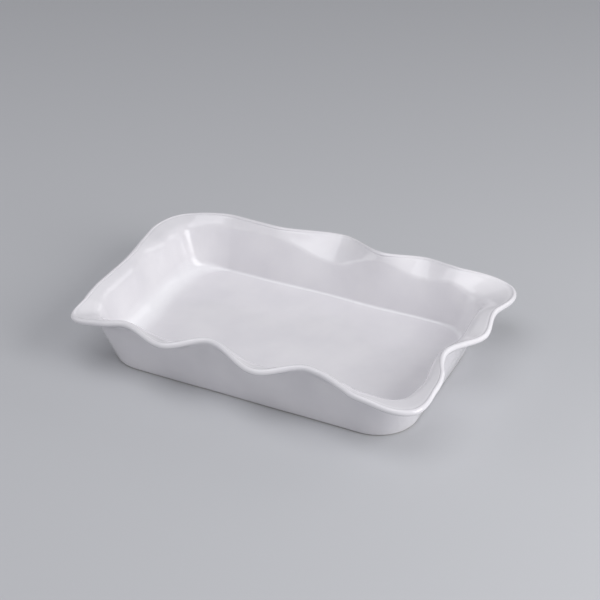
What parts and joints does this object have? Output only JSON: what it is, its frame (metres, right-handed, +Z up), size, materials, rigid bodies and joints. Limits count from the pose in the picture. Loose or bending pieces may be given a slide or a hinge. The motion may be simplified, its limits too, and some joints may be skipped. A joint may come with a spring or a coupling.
{
  "type": "serving dish",
  "caption": "Deep rectangular stoneware serving dish with leaning walls and an irregular ruffled rim, glazed over a bare foot ring.",
  "frame": {"origin": "on the plane of the foot ring, under the middle of the overall size", "axes": "+Z up out of the dish, X along the long side, Y along the short side"},
  "size_m": [0.3725, 0.2583, 0.0637],
  "materials": {
    "bare_stoneware": "unglazed, wiped clean",
    "white_glaze": "gloss white glaze"
  },
  "bodies": {
    "root": {"stoneware_body": "bare_stoneware", "glaze_coat": "white_glaze", "underside_glaze": "white_glaze"}
  },
  "joints": []
}
